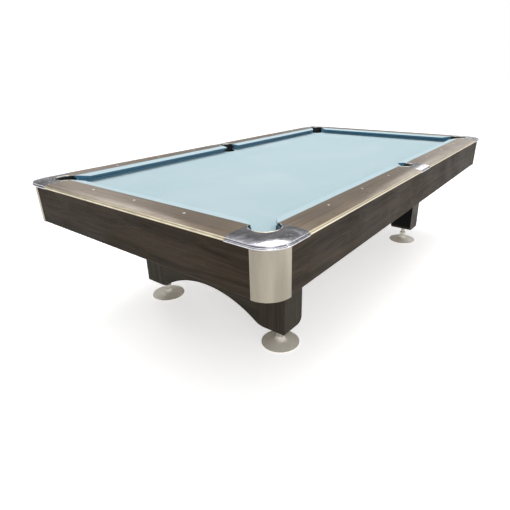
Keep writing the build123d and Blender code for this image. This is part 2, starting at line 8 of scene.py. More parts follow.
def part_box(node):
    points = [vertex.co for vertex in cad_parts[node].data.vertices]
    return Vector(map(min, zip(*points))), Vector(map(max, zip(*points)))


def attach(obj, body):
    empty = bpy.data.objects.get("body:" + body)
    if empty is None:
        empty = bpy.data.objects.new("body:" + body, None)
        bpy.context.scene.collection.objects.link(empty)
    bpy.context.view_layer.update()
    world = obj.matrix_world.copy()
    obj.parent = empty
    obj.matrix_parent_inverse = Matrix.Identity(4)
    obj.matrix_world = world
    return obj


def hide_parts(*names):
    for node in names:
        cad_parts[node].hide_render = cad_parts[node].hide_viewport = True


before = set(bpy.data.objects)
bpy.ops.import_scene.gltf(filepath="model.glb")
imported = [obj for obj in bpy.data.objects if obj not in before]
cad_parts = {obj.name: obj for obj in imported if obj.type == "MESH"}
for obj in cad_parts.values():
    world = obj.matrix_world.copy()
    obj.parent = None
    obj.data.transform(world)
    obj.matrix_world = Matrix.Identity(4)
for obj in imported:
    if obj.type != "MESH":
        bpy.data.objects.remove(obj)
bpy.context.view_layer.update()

bl_info = {
    "name": "Pool table dressing",
    "version": (1, 0, 0),
    "blender": (4, 5, 0),
    "location": "View3D > Sidebar > Pool table",
    "description": "Cloth, cushions, softened edges, screw threads and finishes for the table",
    "category": "Object",
}

# ---- Places read from the frame ------------------------------------------------------------------
ENDS = {"head": -1, "foot": 1}
SIDES = {"left": 1, "right": -1}
CORNERS = [(end, side) for end in ENDS for side in SIDES]
BED_LOW, BED_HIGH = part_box("bed_cloth")
BED_TOP = BED_HIGH.z
RAIL_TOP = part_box("rail_cap_foot")[1].z
LEG_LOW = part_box("leg_foot_left")[0]
FOOT_LOW, FOOT_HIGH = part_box("leveller_dish_foot_left")
FOOT_CENTRE = (FOOT_LOW + FOOT_HIGH) / 2
STUD_LOW, STUD_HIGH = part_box("leveller_stud_foot_left")
PANEL_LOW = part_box("arch_panel_foot")[0]
CORNER_LINER_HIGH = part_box("corner_pocket_liners")[1]
SIDE_LINER_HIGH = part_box("side_pocket_liners")[1]
UP = Vector((0, 0, 1))
FULL_TURN = 2 * math.pi
# Where the black on the inner faces ends, from the middle of the table.
LEG_BLACK_EDGE = LEG_LOW.x + 0.002
PANEL_BLACK_EDGE = PANEL_LOW.x + 0.003
# How far a corner bead and a side bead run round their pockets.
CORNER_BEAD = (math.radians(-66), math.radians(156))
SIDE_BEAD = (0, math.pi)


# ---- Settings ------------------------------------------------------------------------------------
def length(name, description, default):
    return bpy.props.FloatProperty(
        name=name, description=description, default=default, precision=4, unit="LENGTH"
    )


def angle(name, description, degrees):
    return bpy.props.FloatProperty(
        name=name, description=description, default=math.radians(degrees), subtype="ANGLE"
    )


def colour(name, description, default):
    return bpy.props.FloatVectorProperty(
        name=name, description=description, default=default, min=0, max=1, size=3, subtype="COLOR"
    )


class PoolTableSizes(bpy.types.PropertyGroup):
    """Sizes of the pieces that are added to the frame."""

    cloth_thickness: length("Cloth thickness", "Worsted cloth on the bed", 0.001)
    cloth_fold: length("Pocket fold", "How far the bed cloth turns down in a pocket", 0.015)
    cloth_bend: length("Fold radius", "Bend of the bed cloth at a pocket", 0.0012)
    corner_cloth_radius: length("Corner cloth hole", "Radius of the cloth's corner holes", 0.061)
    side_cloth_radius: length("Side cloth hole", "Radius of the cloth's side holes", 0.057)
    corner_liner_radius: length("Corner liner", "Outer radius of a corner pocket liner", 0.0598)
    side_liner_radius: length("Side liner", "Outer radius of a side pocket liner", 0.0558)
    cushion_round: length("Cushion rounding", "Cloth round the nose and jaws", 0.0016)
    pocket_bead: length("Pocket bead", "Radius of the bead round a pocket's edge", 0.0022)
    casting_round: length("Casting rounding", "Softened edges of the castings", 0.0009)
    wood_round: length("Wood rounding", "Softened edges of rails, aprons and legs", 0.0008)
    foot_round: length("Foot rounding", "Softened edges of the levelling feet", 0.0012)
    stud_crest: length("Thread crest", "Outer radius of a levelling stud's thread", 0.014)
    stud_root: length("Thread root", "Radius at the bottom of the thread", 0.0124)
    stud_pitch: length("Thread pitch", "Lift for one turn of a stud", 0.003)
    spigot_radius: length("Spigot", "Radius of the stud's end in its dish", 0.010)
    collar_flats: length("Collar", "Width across the flats of a stud's collar", 0.042)
    collar_height: length("Collar height", "Height of a stud's collar", 0.026)
    collar_round: length("Collar rounding", "Eased corners of a stud's collar", 0.0018)


class PoolTableColours(bpy.types.PropertyGroup):
    """Colours of the finishes, as scene-linear values."""

    cloth: colour("Bed cloth", "Pale blue worsted cloth", (0.46, 0.62, 0.67))
    cloth_worn: colour("Worn cloth", "Paler, chalky patches", (0.54, 0.67, 0.71))
    # Painted shade: the cushion sides under the nose get this deeper colour in place of the shade
    # they lie in.
    cushion_face_painted_shade: colour("Cushion face", "Cloth under the cushion nose", (0.072, 0.205, 0.32))
    # Painted light: the cloth under the nose is lightened to cancel the shade that falls there.
    cushion_wrap_painted_light: colour("Cushion wrap", "Cloth wrapped under the rails", (0.16, 0.36, 0.48))
    # Painted sheen: the cushion tops get this paler colour for the light they catch.
    cushion_top_painted_sheen: colour("Cushion top", "Cloth on top of the cushions", (0.50, 0.66, 0.72))
    laminate_light: colour("Laminate light", "Light streaks of the rails", (0.29, 0.232, 0.172))
    laminate_dark: colour("Laminate dark", "Dark streaks of the rails", (0.175, 0.132, 0.096))
    wood_light: colour("Wood light", "Light streaks of the aprons", (0.044, 0.030, 0.018))
    wood_dark: colour("Wood dark", "Dark streaks of the aprons", (0.013, 0.008, 0.004))
    leg_light: colour("Leg light", "Light streaks of the legs", (0.046, 0.037, 0.024))
    leg_dark: colour("Leg dark", "Dark streaks of the legs", (0.015, 0.011, 0.006))
    # Black on the leg and panel faces towards the middle of the table.
    inner_black: colour("Inner black", "Paint on the legs' inner faces", (0.002, 0.002, 0.002))
    trim: colour("Trim", "Champagne anodised strip", (0.80, 0.71, 0.52))
    chrome: colour("Chrome", "Polished casting", (0.70, 0.70, 0.73))
    chrome_dull: colour("Chrome haze", "Hazed specks of a casting", (0.34, 0.33, 0.39))
    plate: colour("Corner plate", "Satin champagne metal", (0.36, 0.325, 0.262))
    foot: colour("Foot", "Satin cast metal", (0.88, 0.83, 0.73))
    stud: colour("Stud", "Machined steel", (0.66, 0.63, 0.57))
    bead: colour("Pocket bead", "Pale gold metal round the pockets", (0.84, 0.78, 0.62))
    sight: colour("Sights", "White inlays", (0.90, 0.89, 0.84))
    pocket: colour("Pockets", "Black moulded plastic", (0.012, 0.012, 0.013))
    slate: colour("Slate", "Honed slate", (0.072, 0.078, 0.085))
    timber: colour("Timber light", "Planed softwood", (0.52, 0.38, 0.23))
    timber_dark: colour("Timber dark", "Late wood of the softwood", (0.34, 0.21, 0.11))
    zinc: colour("Zinc", "Plated bolts and screws", (0.60, 0.60, 0.58))
    black_steel: colour("Black steel", "Painted brackets and plates", (0.022, 0.022, 0.024))
    floor: colour("Floor", "Plain pale floor", (0.90, 0.90, 0.90))


class PoolTableStage(bpy.types.PropertyGroup):
    """The camera, the lights and the floor."""

    camera_place: bpy.props.FloatVectorProperty(
        name="Camera place",
        description="Where the camera stands, in the table's frame",
        default=(-2.3692, -1.4915, 1.3071),
        size=3,
        subtype="TRANSLATION",
        unit="LENGTH",
    )
    heading: angle("Heading", "Direction of view from +X towards +Y", 37.487)
    dip: angle("Dip", "How far the view points down", 23.979)
    roll: angle("Roll", "Turn of the camera about its view", -0.922)
    focal_length: bpy.props.FloatProperty(
        name="Focal length", description="In millimetres on a 36 mm sensor", default=28.509
    )
    frame_shift: bpy.props.FloatProperty(
        name="Frame shift", description="Sideways shift, as a share of the frame", default=-0.0227
    )
    key_power: bpy.props.FloatProperty(
        name="Key light", description="Power of the large soft light", default=135.0,
        subtype="POWER",
    )
    back_power: bpy.props.FloatProperty(
        name="Back lights", description="Power that sets the three back lights", default=75.0,
        subtype="POWER",
    )
    side_power: bpy.props.FloatProperty(
        name="Side light", description="Power of the small light by the corner", default=11.0,
        subtype="POWER",
    )
    fill_power: bpy.props.FloatProperty(
        name="Fill light", description="Power of the front light", default=75.0, subtype="POWER"
    )
    floor_size: length("Floor", "Width of the floor", 120.0)


def settings():
    return bpy.context.scene.pool_table


# ---- Node trees ----------------------------------------------------------------------------------
def add(tree, kind, inputs=None, **values):
    """A node with its settings, its plain input values and its links."""
    made = tree.nodes.new(kind)
    for name, value in values.items():
        setattr(made, name, value)
    for name, value in (inputs or {}).items():
        if isinstance(value, bpy.types.NodeSocket):
            tree.links.new(value, made.inputs[name])
        else:
            made.inputs[name].default_value = value
    return made


def rgba(values):
    return (*values, 1.0)


def maths(tree, operation, first, second=0.0, third=0.0):
    return add(
        tree, "ShaderNodeMath", {0: first, 1: second, 2: third}, operation=operation
    ).outputs[0]


def mixed(tree, share, first, second, blend="MIX"):
    """Two colours mixed, through the node's colour sockets."""
    inputs = {0: share, 6: first, 7: second}
    return add(tree, "ShaderNodeMix", inputs, data_type="RGBA", blend_type=blend).outputs[2]


def ramped(tree, value, low, high, to_low=0.0, to_high=1.0):
    """A smooth step from one value to another."""
    inputs = {
        "Value": value,
        "From Min": low,
        "From Max": high,
        "To Min": to_low,
        "To Max": to_high,
    }
    node = add(tree, "ShaderNodeMapRange", inputs, interpolation_type="SMOOTHSTEP")
    return node.outputs["Result"]


def noise(tree, vector, scale, detail=3.0, roughness=0.5, distortion=0.0):
    inputs = {
        "Vector": vector,
        "Scale": scale,
        "Detail": detail,
        "Roughness": roughness,
        "Distortion": distortion,
    }
    return add(tree, "ShaderNodeTexNoise", inputs).outputs["Fac"]


def scaled(tree, vector, factors):
    node = add(tree, "ShaderNodeVectorMath", {0: vector, 1: factors}, operation="MULTIPLY")
    return node.outputs[0]


def new_group(name, inputs, outputs):
    """An empty shader group with named sockets, and its input and output nodes."""
    tree = bpy.data.node_groups.new(name, "ShaderNodeTree")
    kinds = {"vector": "NodeSocketVector", "colour": "NodeSocketColor", "value": "NodeSocketFloat"}
    for label, kind in inputs:
        tree.interface.new_socket(name=label, in_out="INPUT", socket_type=kinds[kind])
    for label, kind in outputs:
        tree.interface.new_socket(name=label, in_out="OUTPUT", socket_type=kinds[kind])
    return tree, tree.nodes.new("NodeGroupInput"), tree.nodes.new("NodeGroupOutput")


def grain_group():
    """Wood figure along X: wavy bands, fine streaks and dark pores."""
    tree, source, result = new_group(
        "Wood grain",
        [("Vector", "vector"), ("Light", "colour"), ("Dark", "colour"), ("Waviness", "value"),
         ("Figure", "value")],
        [("Color", "colour"), ("Height", "value"), ("Streak", "value")],
    )
    vector = source.outputs["Vector"]
    wander = noise(tree, scaled(tree, vector, (1.1, 3.0, 3.0)), 1.6, 2.0)
    centred = maths(tree, "SUBTRACT", wander, 0.5)
    shift = maths(tree, "MULTIPLY", centred, source.outputs["Waviness"])
    offset = add(tree, "ShaderNodeCombineXYZ", {"X": 0.0, "Y": shift, "Z": shift}).outputs[0]
    bent = add(tree, "ShaderNodeVectorMath", {0: vector, 1: offset}, operation="ADD").outputs[0]
    bands = noise(tree, scaled(tree, bent, (0.7, 26.0, 26.0)), 1.0, 3.0, 0.55, 0.6)
    streaks = noise(tree, scaled(tree, bent, (2.2, 150.0, 150.0)), 1.0, 5.0, 0.62)
    pores = noise(tree, scaled(tree, bent, (14.0, 620.0, 620.0)), 1.0, 2.0, 0.5)
    figure = maths(tree, "MULTIPLY", ramped(tree, bands, 0.36, 0.66), source.outputs["Figure"])
    rest = maths(tree, "SUBTRACT", 1.0, source.outputs["Figure"])
    fine = maths(tree, "MULTIPLY", ramped(tree, streaks, 0.34, 0.68), rest)
    share = maths(tree, "ADD", figure, fine)
    base = mixed(tree, share, source.outputs["Dark"], source.outputs["Light"])
    pore = ramped(tree, pores, 0.60, 0.74, 0.0, 0.45)
    tree.links.new(mixed(tree, pore, base, source.outputs["Dark"]), result.inputs["Color"])
    tree.links.new(maths(tree, "SUBTRACT", share, pore), result.inputs["Height"])
    tree.links.new(fine, result.inputs["Streak"])
    return tree


def weave_group():
    """Worsted cloth: fine crossed threads, nap and broad uneven wear."""
    tree, source, result = new_group(
        "Worsted weave",
        [("Vector", "vector"), ("Colour", "colour"), ("Worn", "colour"), ("Thread", "value")],
        [("Color", "colour"), ("Height", "value")],
    )
    vector = source.outputs["Vector"]
    rate = maths(tree, "DIVIDE", FULL_TURN, source.outputs["Thread"])
    split = add(tree, "ShaderNodeSeparateXYZ", {0: vector})
    waves = [
        maths(tree, "SINE", maths(tree, "MULTIPLY", split.outputs[axis], rate)) for axis in range(3)
    ]
    crossed = maths(tree, "MULTIPLY", waves[0], maths(tree, "ADD", waves[1], waves[2]))
    nap = noise(tree, vector, 420.0, 3.0, 0.6)
    patches = noise(tree, vector, 1.5, 3.0, 0.55, 0.4)
    tracks = noise(tree, scaled(tree, vector, (0.8, 4.5, 4.5)), 1.2, 3.0, 0.6)
    wear = maths(tree, "MULTIPLY", ramped(tree, patches, 0.42, 0.70), 0.7)
    wear = maths(tree, "ADD", wear, ramped(tree, tracks, 0.52, 0.75, 0.0, 0.3))
    base = mixed(tree, wear, source.outputs["Colour"], source.outputs["Worn"])
    speck = ramped(tree, nap, 0.30, 0.70, 0.90, 1.04)
    shade = add(tree, "ShaderNodeCombineXYZ", {"X": speck, "Y": speck, "Z": speck}).outputs[0]
    tree.links.new(mixed(tree, 1.0, base, shade, "MULTIPLY"), result.inputs["Color"])
    height = maths(tree, "ADD", maths(tree, "MULTIPLY", crossed, 0.35), nap)
    tree.links.new(height, result.inputs["Height"])
    return tree


def handling_group():
    """Smudges and hairline scratches of handled metal or plastic."""
    tree, source, result = new_group(
        "Handling marks",
        [("Vector", "vector"), ("Scale", "value")],
        [("Smudge", "value"), ("Scratch", "value"), ("Height", "value")],
    )
    vector = source.outputs["Vector"]
    soft = noise(tree, vector, source.outputs["Scale"], 4.0, 0.6, 0.3)
    smudge = ramped(tree, soft, 0.38, 0.68)
    hair = noise(tree, scaled(tree, vector, (9.0, 260.0, 90.0)), 1.0, 2.0, 0.5, 0.8)
    scratch = ramped(tree, hair, 0.70, 0.78)
    ripple = noise(tree, vector, maths(tree, "MULTIPLY", source.outputs["Scale"], 9.0), 2.0)
    tree.links.new(smudge, result.inputs["Smudge"])
    tree.links.new(scratch, result.inputs["Scratch"])
    tree.links.new(maths(tree, "SUBTRACT", ripple, scratch), result.inputs["Height"])
    return tree


def brushed_group():
    """Fine parallel lines along X."""
    tree, source, result = new_group(
        "Brushed lines", [("Vector", "vector")], [("Line", "value"), ("Cloud", "value")]
    )
    vector = source.outputs["Vector"]
    line = noise(tree, scaled(tree, vector, (3.0, 900.0, 900.0)), 1.0, 4.0, 0.6)
    cloud = noise(tree, scaled(tree, vector, (2.0, 14.0, 14.0)), 1.0, 2.0, 0.4)
    tree.links.new(line, result.inputs["Line"])
    tree.links.new(cloud, result.inputs["Cloud"])
    return tree


def turned_group():
    """Rings left by a lathe round an upright axis that is repeated in the four quadrants."""
    tree, source, result = new_group(
        "Turned rings", [("Vector", "vector"), ("Spacing", "value")], [("Ring", "value")]
    )
    folded = add(
        tree, "ShaderNodeVectorMath", {0: source.outputs["Vector"]}, operation="ABSOLUTE"
    ).outputs[0]
    centre = (FOOT_CENTRE.x, FOOT_CENTRE.y, 0.0)
    moved = add(tree, "ShaderNodeVectorMath", {0: folded, 1: centre}, operation="SUBTRACT")
    flat = scaled(tree, moved.outputs[0], (1.0, 1.0, 0.0))
    radius = add(tree, "ShaderNodeVectorMath", {0: flat}, operation="LENGTH").outputs["Value"]
    turns = maths(tree, "DIVIDE", radius, source.outputs["Spacing"])
    wave = maths(tree, "SINE", maths(tree, "MULTIPLY", turns, FULL_TURN))
    tree.links.new(wave, result.inputs["Ring"])
    return tree


GROUP_MAKERS = {
    "grain": grain_group,
    "weave": weave_group,
    "handling": handling_group,
    "brushed": brushed_group,
    "turned": turned_group,
}
groups = {}


def use_group(tree, name, **inputs):
    """A group node, with the group built at its first use."""
    if name not in groups:
        groups[name] = GROUP_MAKERS[name]()
    return add(tree, "ShaderNodeGroup", inputs, node_tree=groups[name]).outputs


# ---- Materials -----------------------------------------------------------------------------------
ALONG_X = (0, 0, 0)
ALONG_Y = (0, 0, math.pi / 2)
UPRIGHT = (0, math.pi / 2, 0)
CLOTH_THREAD = 0.0009
LAMINATE = {"figure": 0.35, "waviness": 0.02, "rough": 0.31, "coat": 0.2, "metallic": 0.5}
APRON_WOOD = {"figure": 0.6, "waviness": 0.10, "rough": 0.55}
LEG_WOOD = {"figure": 0.45, "waviness": 0.05, "rough": 0.45}
SOFTWOOD = {"figure": 0.7, "waviness": 0.05, "rough": 0.62}


def new_material(name, turn=ALONG_X, **shader_values):
    """A Principled material: its tree, shader and turned Object coordinates."""
    material = bpy.data.materials.new(name)
    material.use_nodes = True
    tree = material.node_tree
    shader = tree.nodes["Principled BSDF"]
    for label, value in shader_values.items():
        shader.inputs[label.replace("_", " ")].default_value = value
    place = add(tree, "ShaderNodeTexCoord").outputs["Object"]
    vector = add(tree, "ShaderNodeMapping", {"Vector": place, "Rotation": turn}).outputs[0]
    return material, tree, shader, vector


def bump(tree, shader, height, strength, distance):
    inputs = {"Height": height, "Strength": strength, "Distance": distance}
    node = add(tree, "ShaderNodeBump", inputs)
    tree.links.new(node.outputs["Normal"], shader.inputs["Normal"])


def bed_cloth_material():
    c = settings().colours
    material, tree, shader, vector = new_material(
        "bed_cloth", Sheen_Weight=0.25, Sheen_Roughness=0.5, Specular_IOR_Level=0.2
    )
    out = use_group(
        tree, "weave", Vector=vector, Colour=rgba(c.cloth), Worn=rgba(c.cloth_worn),
        Thread=CLOTH_THREAD,
    )
    tree.links.new(out["Color"], shader.inputs["Base Color"])
    tree.links.new(ramped(tree, out["Height"], 0.0, 1.2, 0.97, 0.88), shader.inputs["Roughness"])
    bump(tree, shader, out["Height"], 0.25, 0.0004)
    return material


def cushion_cloth_material():
    """The same cloth, with painted shade where it turns under the nose and a painted sheen on top.
    """
    c = settings().colours
    material, tree, shader, vector = new_material(
        "cushion_cloth", Sheen_Weight=0.2, Sheen_Roughness=0.5, Specular_IOR_Level=0.2
    )
    face = use_group(
        tree, "weave", Vector=vector, Colour=rgba(c.cushion_face_painted_shade), Worn=rgba(c.cushion_face_painted_shade),
        Thread=CLOTH_THREAD,
    )
    top = use_group(
        tree, "weave", Vector=vector, Colour=rgba(c.cushion_top_painted_sheen), Worn=rgba(c.cloth_worn),
        Thread=CLOTH_THREAD,
    )
    facing = add(tree, "ShaderNodeNewGeometry").outputs["Normal"]
    upward = add(tree, "ShaderNodeSeparateXYZ", {0: facing}).outputs["Z"]
    # By the surface normal, the sides get the deeper colour as painted shade and the tops get the
    # paler one as painted sheen.
    share = ramped(tree, upward, 0.25, 0.85)
    tree.links.new(mixed(tree, share, face["Color"], top["Color"]), shader.inputs["Base Color"])
    tree.links.new(ramped(tree, face["Height"], 0.0, 1.2, 0.96, 0.86), shader.inputs["Roughness"])
    bump(tree, shader, face["Height"], 0.25, 0.0004)
    return material


def wood_material(name, turn, light, dark, figure, waviness, rough, coat=0.0, metallic=0.0):
    """Laminate with its grain along X, turned to run along a piece."""
    material, tree, shader, vector = new_material(
        name, turn, Coat_Roughness=0.22, Metallic=metallic, Specular_IOR_Level=0.1
    )
    out = use_group(
        tree, "grain", Vector=vector, Light=rgba(light), Dark=rgba(dark), Waviness=waviness,
        Figure=figure,
    )
    marks = use_group(tree, "handling", Vector=vector, Scale=5.0)
    tree.links.new(out["Color"], shader.inputs["Base Color"])
    worn = maths(tree, "ADD", rough, maths(tree, "MULTIPLY", marks["Smudge"], 0.10))
    gloss = maths(tree, "SUBTRACT", worn, maths(tree, "MULTIPLY", out["Streak"], 0.06))
    tree.links.new(gloss, shader.inputs["Roughness"])
    if coat:
        haze = ramped(tree, marks["Smudge"], 0.0, 1.0, coat, 0.6 * coat)
        tree.links.new(haze, shader.inputs["Coat Weight"])
    bump(tree, shader, out["Height"], 0.35, 0.00025)
    return material, tree, shader, out


def leg_material(name, turn, black_edge):
    """Dark grain outside and black on the faces towards the middle of the table."""
    c = settings().colours
    material, tree, shader, out = wood_material(name, turn, c.leg_light, c.leg_dark, **LEG_WOOD)
    place = add(tree, "ShaderNodeTexCoord").outputs["Object"]
    along = add(tree, "ShaderNodeSeparateXYZ", {0: place}).outputs["X"]
    distance = maths(tree, "ABSOLUTE", along)
    outer = ramped(tree, distance, black_edge, black_edge + 0.001)
    shown = mixed(tree, outer, rgba(c.inner_black), out["Color"])
    tree.links.new(shown, shader.inputs["Base Color"])
    return material


def metal_base(name, rough, scale=18.0, metallic=1.0):
    """Metal that is duller where it is smudged or scratched, with no colour or bump yet."""
    material, tree, shader, vector = new_material(name, Metallic=metallic)
    marks = use_group(tree, "handling", Vector=vector, Scale=scale)
    smudged = maths(tree, "ADD", rough, maths(tree, "MULTIPLY", marks["Smudge"], 0.10))
    hazed = maths(tree, "ADD", smudged, maths(tree, "MULTIPLY", marks["Scratch"], 0.12))
    tree.links.new(hazed, shader.inputs["Roughness"])
    return material, tree, shader, vector, marks


def smudged_colour(tree, shader, marks, tone):
    """Colours a metal, a little darker where it is smudged."""
    low = rgba([0.86 * value for value in tone])
    share = maths(tree, "MULTIPLY", marks["Smudge"], 0.75)
    tree.links.new(mixed(tree, share, rgba(tone), low), shader.inputs["Base Color"])


def metal_material(name, tone, rough):
    """Plain metal with smudges, hairlines and a slightly uneven surface."""
    material, tree, shader, _, marks = metal_base(name, rough)
    smudged_colour(tree, shader, marks, tone)
    bump(tree, shader, marks["Height"], 0.06, 0.0006)
    return material


def chrome_material():
    """Polished casting with a fine mottled haze and dull specks in the plating."""
    c = settings().colours
    material, tree, shader, vector, marks = metal_base("chrome_casting", 0.12, 34.0)
    fine = ramped(tree, noise(tree, vector, 240.0, 5.0, 0.75), 0.42, 0.60)
    patch = ramped(tree, noise(tree, vector, 20.0, 3.0, 0.6), 0.35, 0.62, 0.25, 1.0)
    share = maths(tree, "MULTIPLY", fine, patch)
    tree.links.new(
        mixed(tree, share, rgba(c.chrome), rgba(c.chrome_dull)), shader.inputs["Base Color"]
    )
    bump(tree, shader, marks["Height"], 0.04, 0.0006)
    return material


def plate_material():
    """Satin metal with faint upright lines."""
    c = settings().colours
    material, tree, shader, vector = new_material(
        "satin_plate", UPRIGHT, Metallic=0.9, Anisotropic=0.35
    )
    lines = use_group(tree, "brushed", Vector=vector)
    low = rgba([0.68 * value for value in c.plate])
    tone = mixed(tree, ramped(tree, lines["Cloud"], 0.35, 0.65), low, rgba(c.plate))
    tree.links.new(tone, shader.inputs["Base Color"])
    tree.links.new(ramped(tree, lines["Line"], 0.25, 0.75, 0.20, 0.30), shader.inputs["Roughness"])
    bump(tree, shader, lines["Line"], 0.10, 0.0002)
    return material


def trim_material():
    """Anodised strip with drawing lines along X and painted shade on its under side."""
    c = settings().colours
    material, tree, shader, vector = new_material("trim_x", Metallic=0.75)
    lines = use_group(tree, "brushed", Vector=vector)
    low = rgba([0.82 * value for value in c.trim])
    tone = mixed(tree, ramped(tree, lines["Cloud"], 0.35, 0.65), low, rgba(c.trim))
    facing = add(tree, "ShaderNodeNewGeometry").outputs["Normal"]
    upward = add(tree, "ShaderNodeSeparateXYZ", {0: facing}).outputs["Z"]
    # Painted shade: the strip is darkened where its surface faces downwards.
    painted_underside_shade = ramped(tree, upward, -0.6, -0.1, 0.8, 0.0)
    under = rgba([0.22 * value for value in c.trim])
    tree.links.new(mixed(tree, painted_underside_shade, tone, under), shader.inputs["Base Color"])
    tree.links.new(ramped(tree, lines["Line"], 0.25, 0.75, 0.30, 0.40), shader.inputs["Roughness"])
    bump(tree, shader, lines["Line"], 0.12, 0.0002)
    return material


def foot_material():
    """Cast dish, turned on a lathe and satin finished."""
    c = settings().colours
    material, tree, shader, vector, marks = metal_base("foot_metal", 0.40, metallic=0.1)
    smudged_colour(tree, shader, marks, c.foot)
    rings = use_group(tree, "turned", Vector=vector, Spacing=0.0014)
    fine = use_group(tree, "handling", Vector=vector, Scale=40.0)
    height = maths(tree, "ADD", maths(tree, "MULTIPLY", rings["Ring"], 0.4), fine["Height"])
    bump(tree, shader, height, 0.12, 0.0004)
    return material


def moulded_material(name, tone, rough=0.5, grain=260.0):
    """Moulded plastic or paint with a fine orange-peel surface."""
    material, tree, shader, vector = new_material(name)
    marks = use_group(tree, "handling", Vector=vector, Scale=14.0)
    peel = noise(tree, vector, grain, 2.0)
    high = rgba([min(1.0, 1.35 * value + 0.002) for value in tone])
    tree.links.new(mixed(tree, marks["Smudge"], rgba(tone), high), shader.inputs["Base Color"])
    worn = maths(tree, "ADD", rough, maths(tree, "MULTIPLY", marks["Smudge"], 0.12))
    tree.links.new(worn, shader.inputs["Roughness"])
    bump(tree, shader, peel, 0.12, 0.0003)
    return material


def subrail_material(name, turn):
    """Softwood, with the cushion cloth wrapped over what shows above the bed, in a lighter colour
    that is painted light against the shade under the nose.
    """
    c = settings().colours
    material, tree, shader, out = wood_material(name, turn, c.timber, c.timber_dark, **SOFTWOOD)
    place = add(tree, "ShaderNodeTexCoord").outputs["Object"]
    height = add(tree, "ShaderNodeSeparateXYZ", {0: place}).outputs["Z"]
    # The wrapped cloth is lightened as painted light against the shade under the nose.
    cloth = use_group(
        tree, "weave", Vector=place, Colour=rgba(c.cushion_wrap_painted_light), Worn=rgba(c.cushion_wrap_painted_light),
        Thread=CLOTH_THREAD,
    )
    wrapped = ramped(tree, height, BED_TOP - 0.0002, BED_TOP + 0.0002)
    tree.links.new(mixed(tree, wrapped, out["Color"], cloth["Color"]), shader.inputs["Base Color"])
    return material


def slate_material():
    """Honed slate with cloudy layers."""
    c = settings().colours
    material, tree, shader, vector = new_material("slate")
    clouds = noise(tree, scaled(tree, vector, (1.0, 1.0, 40.0)), 7.0, 6.0, 0.62, 0.5)
    flecks = noise(tree, vector, 160.0, 3.0, 0.6)
    high = rgba([1.7 * value for value in c.slate])
    tone = mixed(tree, ramped(tree, clouds, 0.35, 0.68), rgba(c.slate), high)
    tree.links.new(tone, shader.inputs["Base Color"])
    tree.links.new(ramped(tree, flecks, 0.3, 0.7, 0.55, 0.75), shader.inputs["Roughness"])
    bump(tree, shader, maths(tree, "ADD", clouds, flecks), 0.2, 0.0005)
    return material


finishes = {}


def finish(name):
    """A finish of the table by name, built at its first use."""
    c = settings().colours
    makers = {
        "bed_cloth": bed_cloth_material,
        "cushion_cloth": cushion_cloth_material,
        "laminate_x": lambda: wood_material(
            "laminate_x", ALONG_X, c.laminate_light, c.laminate_dark, **LAMINATE
        )[0],
        "laminate_y": lambda: wood_material(
            "laminate_y", ALONG_Y, c.laminate_light, c.laminate_dark, **LAMINATE
        )[0],
        "apron_x": lambda: wood_material(
            "apron_x", ALONG_X, c.wood_light, c.wood_dark, **APRON_WOOD
        )[0],
        "apron_y": lambda: wood_material(
            "apron_y", ALONG_Y, c.wood_light, c.wood_dark, **APRON_WOOD
        )[0],
        "leg_wood": lambda: leg_material("leg_wood", UPRIGHT, LEG_BLACK_EDGE),
        "arch_wood": lambda: leg_material("arch_wood", ALONG_Y, PANEL_BLACK_EDGE),
        "trim": trim_material,
        "chrome": chrome_material,
        "plate": plate_material,
        "foot": foot_material,
        "stud": lambda: metal_material("stud_steel", c.stud, 0.24),
        "bead": lambda: metal_material("pocket_bead", c.bead, 0.16),
        "zinc": lambda: metal_material("zinc_steel", c.zinc, 0.34),
        "sight": lambda: moulded_material("sight_white", c.sight, 0.28),
        "pocket": lambda: moulded_material("pocket_black", c.pocket, 0.55),
        "black_steel": lambda: moulded_material("black_steel", c.black_steel, 0.42, 420.0),
        "slate": slate_material,
        "subrail_x": lambda: subrail_material("subrail_x", ALONG_X),
        "subrail_y": lambda: subrail_material("subrail_y", ALONG_Y),
        "timber_x": lambda: wood_material(
            "timber_x", ALONG_X, c.timber, c.timber_dark, **SOFTWOOD
        )[0],
        "timber_y": lambda: wood_material(
            "timber_y", ALONG_Y, c.timber, c.timber_dark, **SOFTWOOD
        )[0],
    }
    if name not in finishes:
        finishes[name] = makers[name]()
    return finishes[name]


# ---- Meshes --------------------------------------------------------------------------------------
MERGE = 1e-6
FLAT = math.radians(0.3)
SHARP = math.radians(32)


def node_mesh(name):
    """The shape of a CAD node as a merged bmesh, with its flat faces whole."""
    bm = bmesh.new()
    bm.from_mesh(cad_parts[name].data)
    bmesh.ops.remove_doubles(bm, verts=bm.verts, dist=MERGE)
    bmesh.ops.dissolve_limit(
        bm, angle_limit=FLAT, verts=bm.verts, edges=bm.edges, use_dissolve_boundaries=False
    )
    return bm


def soften(bm, width, segments=2, least=SHARP):
    """Rounds the edges between faces that meet at more than an angle."""
    edges = [
        edge
        for edge in bm.edges
        if len(edge.link_faces) == 2 and edge.calc_face_angle(0) > least
    ]
    bmesh.ops.bevel(
        bm, geom=edges, offset=width, offset_type="OFFSET", segments=segments, profile=0.5,
        affect="EDGES", material=-1, clamp_overlap=True,
    )


